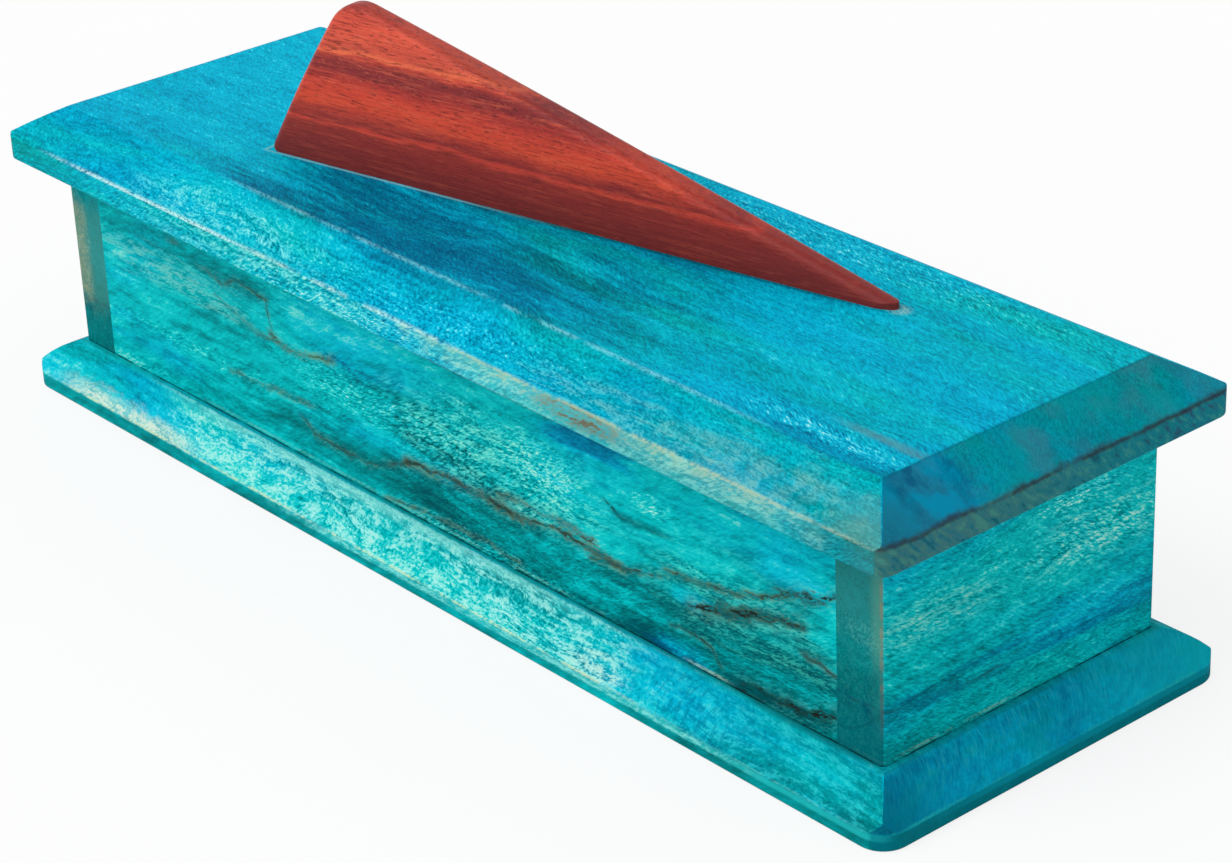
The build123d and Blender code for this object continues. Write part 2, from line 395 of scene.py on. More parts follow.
def front_wall_material():
    wood = DyedWood("dyed_front_wall", "X", seed=1, tone=0.57, blue=0.12, contrast=0.8, grit=0.5)
    x, z = wood.x, wood.z

    def spot(place_x, place_z, length, height, edge=1.1):
        return wood.patch((place_x, wall_low.y, place_z), (length, ANY_DEPTH, height), edge)

    # The dye is deeper low down, most of all towards the right
    uneven_height = wood.add(z, wood.swing(wood.blotch, 9.0))
    wood.tone_at(wood.product(wood.rise(uneven_height, 20, 12), wood.rise(x, -78, -34)), -0.1)
    wood.tone_at(wood.product(wood.rise(uneven_height, 23, 19), wood.rise(x, -16, 6)), -0.13)
    wood.grit_at(wood.product(wood.rise(uneven_height, 23, 17), wood.rise(x, -16, 6)), 0.35)
    wood.tone_at(wood.product(wood.rise(uneven_height, 27, 16), wood.rise(x, 50, 70)), -0.1)
    wood.tone_at(spot(-70, 35.6, 36, 1.7, 0.8), -0.09)
    wood.tone_at(spot(-62, 25.2, 24, 0.8, 0.8), -0.1)
    wood.tone_at(spot(-72, 21.6, 18, 0.7, 0.8), -0.09)
    wood.tone_at(spot(-50, 34, 9, 3.4), -0.05)
    wood.tone_at(spot(-36, 18.6, 8, 0.8, 0.8), -0.14)
    wood.tone_at(spot(-5, 28.4, 16, 1.2, 0.8), -0.08)
    wood.tone_at(spot(48, 27.4, 7, 1.0, 0.8), -0.2)
    wood.tone_at(spot(48, 12, 5, 5), -0.12)
    wood.tone_at(spot(39, 36.6, 8, 1.6, 0.8), -0.22)
    wood.tone_at(spot(-36, 33.6, 6, 3), 0.08)
    wood.tone_at(spot(58, 28, 9, 3.6), 0.07)
    wood.tone_at(spot(39, 10.6, 8, 2.4, 0.6), 0.14)
    wood.tone_at(spot(5, 19.5, 18, 3.2), -0.1)
    wood.tone_at(spot(50, 16.5, 12, 6.5), -0.1)
    wood.tone_at(spot(-40, 12, 13, 4), -0.12)
    wood.tone_at(spot(85, 26.5, 6, 3.4), -0.12)
    wood.tone_at(spot(-26, 35, 40, 3.4), 0.09)
    wood.tone_at(spot(70, 34.5, 22, 3.4), 0.07)
    wood.tone_at(spot(78, 26, 10, 4), -0.1)
    wood.tone_at(spot(80, 19, 11, 3.4), -0.07)
    wood.tone_at(spot(-36, 11.5, 28, 4), -0.05)
    wood.tone_at(spot(64, 12, 36, 4), -0.05)
    wood.tone_at(spot(6, 17, 16, 5), -0.05)
    # Paler, flecked places
    wood.pale(spot(20, 26.5, 19, 5.5), 0.1, 1.1)
    wood.pale(spot(28, 28.5, 8, 4), 0.08, 0.3)
    wood.pale(spot(-16, 24.5, 20, 3.8), 0.03, 0.9)
    wood.pale(spot(14, 20, 22, 1.2), 0.12, 0.8)
    wood.pale(spot(-60, 18, 30, 1.6), 0.02, 0.5)
    wood.pale(spot(8, 9, 18, 1.5), 0.16, 1.0)
    wood.pale(spot(-84, 9.2, 12, 0.9), 0.16, 0.5)
    wood.pale(spot(74, 23.6, 14, 1.6), 0.1, 0.9)
    wood.pale(spot(52, 31.4, 4, 1.6), 0.14, 0.8)
    # Bluer and greener places
    wood.blue_at(spot(-16, 33.5, 20, 4), 0.45)
    wood.blue_at(spot(20, 26, 20, 6), -0.3)
    wood.blue_at(spot(-56, 32, 16, 6), -0.3)
    wood.blue_at(spot(-78, 15, 14, 3.4), 0.5)
    wood.blue_at(spot(34, 34, 26, 4), 0.3)
    wood.blue_at(spot(39, 36.6, 9, 2), 0.7)
    wood.blue_at(spot(34, 27.5, 16, 3), 0.2)
    wood.blue_at(wood.product(wood.rise(z, 19, 14), wood.rise(x, -62, -44)), -0.35)
    wood.blue_at(spot(60.6, 19.3, 5.4, 1.5, 0.7), 0.5)
    wood.tone_at(spot(60.6, 19.3, 5.4, 1.5, 0.5), 0.2)
    wood.blue_at(spot(59.4, 10.2, 6.4, 1.9, 0.7), 0.55)
    wood.tone_at(spot(59.4, 10.2, 6.4, 1.9, 0.5), 0.14)
    wood.dye()
    wood.dapple(spot(-74, 30, 22, 2.8), srgb(124, 198, 184), 0.6, 0.5)
    wood.dapple(spot(20, 25.5, 22, 6), srgb(108, 220, 200), 0.55, 0.54)
    wood.dapple(spot(72, 22, 20, 7), srgb(70, 206, 184), 0.4, 0.54)
    # Spalting lines
    dark = srgb(44, 42, 34)
    wood.stroke(
        x, z, ((-59.5, 34.2), (-54.5, 32.9), (-50.5, 35.2), (-46, 34.7), (-41.8, 34.4)),
        0.24, srgb(60, 86, 80), 0.85, 0.35,
    )
    wood.stroke(z, x, ((29.4, -41.2), (31.8, -41.7), (34.4, -41.9)), 0.26, srgb(50, 80, 76), 0.85, 0.35)
    wood.stroke(
        x, z, ((-42, 28.4), (-38.5, 27.3), (-33, 27.4), (-24, 29.4)),
        0.34, srgb(80, 104, 80), 0.6, 0.8,
    )
    wood.stroke(
        x, z, ((-57, 30.4), (-50, 28.2), (-45.5, 27.2), (-40, 27.3)),
        0.2, srgb(70, 92, 84), 0.6, 0.5,
    )
    wood.stroke(x, z, ((-70, 36.8), (-67, 37)), 0.2, strength=0.5)
    wood.stroke(
        x, z, ((-55, 17.6), (-47, 17.4), (-40, 18.2), (-31, 18.8)),
        0.22, srgb(66, 104, 84), 0.55, 0.7,
    )
    wood.stroke(
        x, z, ((-35, 16.2), (-31.4, 13.8), (-25, 13.4), (-17, 13.4), (-11, 15.2), (-6, 17.6)),
        0.3, dark, 0.65,
    )
    wood.stroke(
        x, z, ((-7, 17.4), (3.5, 18.4), (14, 18.7), (22, 18), (30, 19.6), (36, 19), (46, 18.6)),
        0.42, halo=0.6,
    )
    wood.stroke(x, z, ((16, 20.2), (24, 20.9), (30, 21), (40, 20.4)), 0.36, srgb(92, 62, 54), 0.7, 0.6)
    wood.stroke(x, z, ((-13, 8.6), (-2, 10.1), (11, 10.4), (22, 9.8)), 0.22, srgb(90, 92, 76), 0.6, 0.6)
    wood.stroke(x, z, ((38, 17.6), (44, 18.4), (50, 19.6), (56, 21.4)), 0.26, srgb(48, 78, 70), 0.7, 0.5)
    wood.stroke(x, z, ((42, 28.9), (46, 27), (55.5, 27.8)), 0.24, srgb(0, 84, 88), 0.7, 0.0)
    wood.stroke(x, z, ((55, 21.9), (63, 22.9), (71, 24.3), (81, 27.4)), 0.3, srgb(60, 70, 52), 0.75, 0.8)
    wood.stroke(x, z, ((78, 27), (81.5, 28.4), (85.5, 29.4), (91.5, 31.8)), 0.6, dark, 0.95)
    wood.stroke(
        x, z, ((60, 18.2), (64.5, 19.2), (70, 20.8), (76, 22.8), (80, 23.6), (85, 24.4)),
        0.6, dark, 0.95, 0.5,
    )
    wood.stroke(x, z, ((56, 13.2), (60, 13.8), (65, 13), (67, 10.8)), 0.24, srgb(34, 78, 62), 0.8)
    wood.stroke(
        x, z, ((70, 8.9), (74, 9.4), (80, 10.2), (86, 10.8), (91.5, 12.8)),
        0.7, srgb(8, 30, 32), 1.0, 0.2,
    )
    wood.stroke(x, z, ((84, 20.2), (88.5, 19.6), (91.5, 18.6)), 0.26, srgb(74, 60, 56), 0.7)
    # Along the wall's foot: bright lines, partly wear and partly painted highlight, and a painted shadow
    # line where it meets the base
    foot = wall_low.z
    wood.wear_and_highlight_line(z, foot + 0.75, 0.8, wood.between(x, -60, 40, 8), srgb(120, 206, 186), 0.5)
    wood.wear_and_highlight_line(z, foot + 0.6, 0.9, wood.between(x, 60, 68, 2), srgb(190, 222, 200), 0.6, 0.3)
    wood.foot_shadow_line(foot)
    return wood.done()


def back_wall_material():
    wood = DyedWood("dyed_back_wall", "X", seed=5, tone=0.54, blue=0.2, contrast=0.8, grit=0.55)
    x, z = wood.x, wood.z

    def spot(place_x, place_z, length, height):
        return wood.patch((place_x, -wall_low.y, place_z), (length, ANY_DEPTH, height))

    wood.tone_at(wood.rise(wood.add(z, wood.swing(wood.blotch, 9.0)), 21, 13), -0.12)
    wood.pale(spot(-30, 29, 26, 4.6), 0.1, 1.2)
    wood.pale(spot(46, 18, 24, 3.4), 0.12, 1.0)
    wood.pale(spot(70, 31, 18, 2.6), 0.08, 0.8)
    wood.blue_at(spot(-62, 15, 20, 5), 0.7)
    wood.blue_at(spot(18, 33, 26, 4), 0.5)
    wood.dye()
    dark = srgb(56, 46, 40)
    wood.stroke(x, z, ((-74, 19), (-52, 21), (-30, 18.4), (-8, 17.6), (14, 19.4)), 0.36, halo=0.6)
    wood.stroke(x, z, ((20, 30), (44, 28), (58, 29.4), (72, 31.5)), 0.3, dark, 0.75)
    wood.stroke(x, z, ((-91, 12), (-80, 13.4), (-64, 12.2)), 0.34, dark, 0.8)
    # A painted shadow line along the wall's foot, where it meets the base
    wood.foot_shadow_line(wall_low.z)
    return wood.done()


def end_wall_material(name, seed, left):
    """An end wall: side grain outside, and end grain on the strips that show beside the long walls."""
    wood = DyedWood(
        name, "Y", seed, tone=0.585, blue=0.15, contrast=0.66, grit=0.88, slant=-32, end_limits=(0.5, 0.8)
    )
    x, y, z = wood.x, wood.y, wood.z
    side = -end_high.x if left else end_high.x

    def spot(place_y, place_z, length, height, edge=1.1):
        return wood.patch((side, place_y, place_z), (ANY_DEPTH, length, height), edge)

    uneven_height = wood.add(z, wood.swing(wood.blotch, 9.0))
    wood.tone_at(wood.rise(uneven_height, 25, 21), -0.09)
    wood.tone_at(wood.rise(uneven_height, 19, 15), -0.06)
    wood.tone_at(spot(-8, 15.6, 22, 1.5, 0.8), -0.08)
    wood.tone_at(spot(6, 10.2, 24, 1.8), 0.08)
    wood.tone_at(spot(8, 30.5, 22, 6.5), 0.07)
    wood.tone_at(spot(-4, 19.5, 14, 3), -0.06)
    wood.pale(spot(-20, 28.5, 11, 3), 0.07, 0.5)
    wood.pale(spot(17, 29, 12, 3.4), 0.06, 0.9)
    wood.pale(spot(12, 36, 8, 1.6), 0.1, 0.8)
    wood.blue_at(spot(14, 16.4, 16, 4, 1.4), 0.45)
    wood.blue_at(spot(-10, 15, 20, 3, 1.4), 0.35)
    wood.tone_at(wood.end, -0.2 if left else -0.3)
    wood.grit_at(wood.end, -0.4)
    wood.blue_at(wood.end, -0.2)
    wood.dye()
    wood.dapple(spot(-20, 28.6, 11, 3), srgb(110, 184, 172), 0.4, 0.52)
    wood.dapple(spot(18, 29, 12, 4), srgb(120, 200, 190), 0.4, 0.54)
    wood.stroke(
        y, z, ((-29, 17.2), (-24, 16.2), (-16, 15.4), (-4, 14.8)),
        0.3, srgb(0, 92, 118), 0.5, 0.0,
    )
    outer = wood.rise(wood.absolute(x), 94.5, 98.0)
    if left:
        middle = wood.product(wood.end, wood.between(wood.add(z, wood.swing(wood.breaks, 10.0)), 17, 36, 3))
        wood.paint(wood.product(middle, 0.5), srgb(70, 134, 124))
        wood.paint(wood.product(middle, outer, 0.5), srgb(132, 148, 120))
        wood.dapple(wood.product(middle, outer), srgb(168, 168, 134), 0.45)
    else:
        upper = wood.product(wood.end, wood.rise(wood.add(z, wood.swing(wood.breaks, 10.0)), 24, 33))
        wood.paint(wood.product(upper, 0.18), srgb(84, 136, 120))
        wood.dapple(wood.end, srgb(40, 112, 108), 0.3, 0.54)
        ring_rise = wood.math("POWER", wood.minus(x, end_low.x), 2.0)
        ring = wood.scale(ring_rise, -0.07, wood.add(z, wood.product(wood.wobble, 0.4)))
        wood.paint(wood.product(wood.band(ring, 11.6, 0.9), wood.end, 0.5), srgb(0, 66, 72))
        uneven_x = wood.add(x, wood.product(wood.wobble, 0.3))
        worn_band = wood.product(wood.end, wood.rise(uneven_x, 97.0, 99.0))
        wood.paint(wood.product(worn_band, wood.rise(z, 21, 28), 0.62), srgb(84, 150, 134))
        wood.paint(wood.product(worn_band, wood.between(z, 14, 23, 4), 0.35), srgb(34, 128, 124))
        wood.paint(wood.product(wood.end, wood.rise(z, 18, 11), 0.3), srgb(0, 112, 124))
    corner = wood.product(
        wood.rise(wood.absolute(x), end_high.x - 0.75, end_high.x - 0.3),
        wood.rise(wood.absolute(y), end_high.y - 0.5, end_high.y - 0.2),
    )
    unbroken = wood.rise(wood.breaks, 0.36, 0.56)
    wood.paint(wood.product(corner, unbroken, wood.between(z, 20, 37, 3), 0.4), RAW_WOOD)
    wood.paint(wood.product(corner, wood.between(z, 15, 22, 4), 0.3), srgb(100, 96, 96))
    # Along the wall's foot: a bright line, partly wear and partly painted highlight, and a painted shadow
    # line where it meets the base
    wood.wear_and_highlight_line(z, end_low.z + 0.75, 0.8, wood.between(y, -24, -2, 6), srgb(150, 190, 150), 0.5)
    wood.foot_shadow_line(end_low.z)
    return wood.done()


def lid_material():
    wood = DyedWood(
        "dyed_lid", "X", seed=9, tone=0.545, blue=0.75, contrast=0.34, grit=0.85,
        slant=32, end_limits=(0.28, 0.46),
    )
    x, y, z = wood.x, wood.y, wood.z
    top = lid_high.z

    def spot(place_x, place_y, length, width, edge=1.1, ragged=True):
        return wood.patch((place_x, place_y, top), (length, width, ANY_DEPTH), edge, ragged)

    on_edge = wood.rise(z, lid_edge_top + 0.3, lid_edge_top - 0.3)
    above_edge = wood.rise(z, lid_edge_top - 0.3, lid_edge_top + 0.3)
    bevel = wood.product(wood.rise(wood.facing[1], -0.25, -0.45), above_edge)
    front_edge = wood.product(on_edge, wood.rise(wood.facing[1], -0.4, -0.8))
    # In front of the handle the lid is darker and deep blue, and greener towards the tip; beside the
    # handle's foot this darkening is painted shade
    wood.tone_at(spot(-9, -19, 37, 9.5, 1.3), -0.3)
    wood.tone_at(spot(-36, -17, 20, 6, 1.4), -0.05)
    wood.tone_at(spot(15, -12.4, 14, 4.6, 1.6, False), 0.06)
    wood.tone_at(spot(44, -20, 16, 6, 1.4), 0.07)
    along, across = handle_axes(wood)
    narrowing = (handle_tip_half_width - handle_half_width) / handle_length
    flank = wood.scale(along, narrowing, handle_half_width)
    beside = wood.minus(wood.absolute(across), flank)
    in_front = wood.rise(across, 0.0, -2.0)
    # Painted shade on the lid along the front of the handle's foot
    painted_shade_by_handle = wood.product(in_front, wood.rise(beside, 9.5, 0.5), wood.between(along, 34, 94, 10))
    wood.tone_at(painted_shade_by_handle, -0.17)
    wood.tone_at(spot(38, -16, 22, 7, 1.4), -0.06)
    wood.blue_at(spot(30, -9, 34, 9, 1.4), -0.18)
    wood.blue_at(spot(84, 4, 24, 30, 1.2), -0.2)
    wood.tone_at(spot(-88, 0, 30, 34), 0.05)
    wood.blue_at(spot(-88, 0, 30, 34), 0.3)
    wood.tone_at(spot(60, 22, 44, 7), 0.02)
    wood.pale(wood.patch((86, -22.5, top), (15, 2.4, 3)), 0.03, 0.8)
    wood.pale(wood.patch((40, 23, top), (40, 4, 3)), 0.02, 0.6)
    wood.tone_at(wood.patch((86, -25.6, top), (14, 1.2, 3)), -0.12)
    wood.tone_at(wood.patch((76, -23.6, top), (16, 1.6, 3)), 0.07)
    wood.blue_at(wood.patch((80, -24.4, top), (20, 2.4, 3)), 0.5)
    # Paler and deeper places on the front bevel and the front edge
    wood.blue_at(bevel, -0.12)
    wood.tone_at(bevel, 0.04)
    wood.pale(wood.product(bevel, wood.patch((-46, -32.4, 50), (18, 3.6, 5))), 0.06, 0.5)
    wood.tone_at(wood.product(bevel, wood.patch((-16, -29.5, 51), (20, 2.4, 3))), 0.12)
    wood.pale(wood.product(bevel, wood.patch((-4, -33.4, 50), (30, 2.6, 5))), 0.02, 0.4)
    wood.pale(wood.product(bevel, wood.patch((24, -32, 50), (20, 3.2, 5))), -0.01, 0.5)
    wood.blue_at(wood.product(bevel, wood.rise(x, 34, 74)), -0.25)
    wood.tone_at(wood.product(bevel, wood.rise(x, 40, 76)), -0.07)
    wood.tone_at(wood.product(bevel, wood.patch((-94, -31, 50), (24, 6, 6))), -0.12)
    wood.tone_at(wood.product(bevel, wood.between(x, -6, 66, 16)), -0.06)
    wood.pale(wood.product(front_edge, wood.between(x, -76, 30, 12)), 0.06, 0.5)
    wood.tone_at(wood.product(front_edge, wood.rise(x, 86, 98)), -0.16)
    wood.tone_at(wood.product(front_edge, wood.between(x, 16, 50, 8)), 0.08)
    wood.tone_at(wood.product(front_edge, wood.rise(x, -76, -90)), -0.07)
    wood.pale(wood.product(front_edge, wood.between(x, -34, 4, 8)), 0.06, 0.4)
    wood.blue_at(front_edge, -0.4)
    wood.tone_at(wood.end, -0.19)
    wood.grit_at(wood.end, -0.4)
    wood.blue_at(wood.end, -0.3)
    blue_end = wood.product(wood.end, wood.patch((lid_high.x - 4, lid_low.y + 11, 50), (12, 7, 8)))
    wood.blue_at(blue_end, 0.8)
    wood.dye()
    pale_left = wood.product(bevel, wood.patch((-46, -32.6, 50), (18, 3.2, 5)))
    wood.dapple(pale_left, srgb(112, 220, 226), 0.66, 0.54)
    wood.dapple(wood.product(front_edge, wood.between(x, -60, 20, 14)), srgb(130, 224, 218), 0.36, 0.54)
    # Grey and cream clouds at the bevel's right end
    cloud = wood.patch((86, -33.6, 48), (22, 4.2, 6), 1.4)
    cloud = wood.product(bevel, cloud, wood.rise(wood.breaks, 0.38, 0.6))
    wood.paint(wood.product(cloud, 0.24), srgb(100, 168, 162))
    wood.dapple(cloud, srgb(136, 190, 178), 0.45, 0.5)
    thin_cloud = wood.product(bevel, wood.patch((52, -33.6, 48), (18, 2.4, 6)))
    wood.dapple(thin_cloud, srgb(128, 192, 184), 0.35, 0.54)
    corner = wood.product(bevel, wood.patch((103, -34, 48), (6, 5, 5), 1.2, False))
    wood.paint(wood.product(corner, 0.5), srgb(86, 146, 140))
    smear = wood.product(wood.patch((92, -18.8, top), (9, 1.0, 2)), above_edge)
    wood.paint(wood.product(smear, wood.rise(wood.streak, 0.36, 0.56), 0.6), srgb(88, 132, 140))
    # The front edge is cream and olive over its right half
    stretch = wood.product(front_edge, wood.between(wood.add(x, wood.swing(wood.breaks, 30.0)), 12, 92, 10))
    upper_part = wood.rise(z, lid_low.z + 0.6, lid_edge_top - 0.4)
    upper_share = wood.scale(upper_part, 0.6, 0.4)
    wood.paint(wood.product(stretch, upper_share, 0.42), srgb(120, 196, 178))
    wood.dapple(wood.product(stretch, upper_share), srgb(164, 220, 200), 0.7, 0.48)
    wood.dapple(wood.product(stretch, upper_part, wood.rise(wood.breaks, 0.4, 0.6)), TAN, 0.6, 0.48)
    stain = wood.patch((46, lid_low.y, 46), (9, 2, 1.8), 1.2, False)
    wood.dapple(wood.product(stretch, stain), srgb(104, 92, 70), 0.9, 0.44)
    # A dark brown painted shadow along the bottom of the front edge, under the lid
    painted_edge_shadow = wood.rise(z, lid_low.z + 0.5, lid_low.z + 0.15)
    wood.paint(wood.product(front_edge, painted_edge_shadow, wood.between(x, 4, 44, 6), 0.7), srgb(70, 60, 50))
    near_corner = wood.product(front_edge, wood.rise(x, 97, 105))
    wood.paint(wood.product(near_corner, 0.5), srgb(60, 120, 118))
    # Bright lines along the front's two arrises, partly wear and partly painted highlight
    arris = wood.rise(y, lid_low.y + 3.0, lid_low.y + 1.0)
    left_arris = wood.product(arris, wood.between(x, -90, -38, 8))
    wood.wear_and_highlight_line(z, lid_edge_top, 0.8, left_arris, srgb(206, 240, 238), 0.85, 0.34)
    middle_arris = wood.product(arris, wood.between(x, -36, 18, 4))
    wood.wear_and_highlight_line(z, lid_edge_top, 0.9, middle_arris, srgb(200, 232, 218), 0.75)
    right_arris = wood.product(arris, wood.between(x, 18, 104, 6))
    wood.wear_and_highlight_line(z, lid_edge_top - 0.1, 0.8, right_arris, srgb(182, 194, 160), 0.6, 0.36)
    flat_line = wood.product(wood.rise(z, top - 1.2, top - 0.6), wood.between(x, -46, 72, 10))
    wood.wear_and_highlight_line(y, lid_flat_front + 0.1, 1.3, flat_line, srgb(128, 216, 228), 0.65, 0.39)
    # The ends are sawn across the grain: darker and mottled, with a rough brown line along the arris
    on_end = wood.rise(wood.absolute(wood.facing[0]), 0.3, 0.5)
    slope = wood.product(wood.end, above_edge)
    patchy = wood.noise(wood.place, (9.0, 7.0, 7.0), 3.0, 0.55, 54)
    smoky = wood.noise(wood.place, (14.0, 11.0, 11.0), 3.0, 0.6, 55)
    wood.paint(wood.product(slope, wood.rise(smoky, 0.46, 0.64), 0.4), srgb(62, 108, 130))
    wood.paint(wood.product(slope, wood.rise(patchy, 0.5, 0.68), 0.45), srgb(8, 146, 152))
    wood.paint(wood.product(slope, wood.rise(patchy, 0.48, 0.32), 0.35), srgb(24, 104, 124))
    wood.paint(wood.product(blue_end, above_edge, 0.5), srgb(0, 108, 136))
    wood.paint(wood.product(blue_end, above_edge, wood.rise(patchy, 0.48, 0.58), 0.7), srgb(0, 142, 180))
    wood.paint(wood.product(blue_end, above_edge, wood.rise(patchy, 0.48, 0.38), 0.7), srgb(10, 78, 118))
    near_end = wood.patch((104, -31, 49), (6, 4.6, 3), 1.3, False)
    wood.paint(wood.product(slope, near_end, 0.5), srgb(34, 96, 112))
    strip = wood.product(wood.end, on_edge)
    diagonal = wood.join(wood.minus(y, z), wood.add(y, z), x)
    slanted = wood.noise(diagonal, (5.0, 1.6, 4.0), 4.0, 0.65, 56)
    wood.paint(wood.product(strip, 0.75), srgb(22, 114, 126))
    near_part, far_part = wood.rise(y, 16, -20), wood.rise(y, 4, 34)
    wood.paint(wood.product(strip, near_part, wood.rise(slanted, 0.3, 0.6), 0.6), srgb(80, 110, 96))
    wood.paint(wood.product(strip, wood.rise(slanted, 0.5, 0.64), 0.55), srgb(66, 146, 134))
    wood.paint(wood.product(strip, wood.rise(slanted, 0.47, 0.33), 0.65), srgb(24, 72, 84))
    wood.paint(wood.product(strip, far_part, wood.rise(slanted, 0.5, 0.38), 0.6), srgb(52, 78, 110))
    uneven_z = wood.add(z, wood.product(wood.wobble, 0.7))
    rough_line = wood.product(wood.band(uneven_z, lid_edge_top - 0.1, 1.3), on_end)
    wood.paint(wood.product(rough_line, wood.rise(wood.breaks, 0.26, 0.5), 0.8), srgb(46, 48, 56))
    end_arris = wood.band(wood.absolute(x), lid_high.x - lid_bevel_width, 0.9)
    wood.paint(wood.product(end_arris, wood.rise(z, top - 1, top - 0.4), 0.35), srgb(0, 84, 108))
    # Round the handle's foot a pale line, in front a painted contact shadow towards the tip, and a worn
    # spot at the tip
    behind = wood.product(wood.band(along, -0.35, 0.9), wood.rise(beside, 0.6, 0.0))
    outline = wood.product(wood.band(beside, 0.4, 0.9), wood.between(along, -0.6, 58, 8))
    outline = wood.math("MAXIMUM", wood.product(outline, wood.rise(along, -1.2, -0.2)), behind)
    wood.paint(wood.product(outline, wood.rise(z, top - 0.4, top - 0.1), 0.6), srgb(150, 206, 208))
    # Painted contact shadow along the front of the foot, towards the tip
    contact_shadow_stretch = wood.product(in_front, wood.between(along, 46, handle_length - 5, 8))
    painted_contact_shadow = wood.product(wood.band(beside, 0.2, 2.2), contact_shadow_stretch, wood.rise(z, top - 0.4, top - 0.1))
    wood.paint(wood.product(painted_contact_shadow, 0.65), srgb(0, 62, 70))
    tip_x = handle_foot[0] + handle_length * cos(handle_angle)
    tip_y = handle_foot[1] + handle_length * sin(handle_angle)
    worn_tip = wood.patch((tip_x + 0.2, tip_y, top), (1.8, 1.5, 2), 0.9, False)
    wood.paint(wood.product(worn_tip, wood.rise(wood.fleck, 0.34, 0.54), 0.6), srgb(150, 190, 184))
    return wood.done()


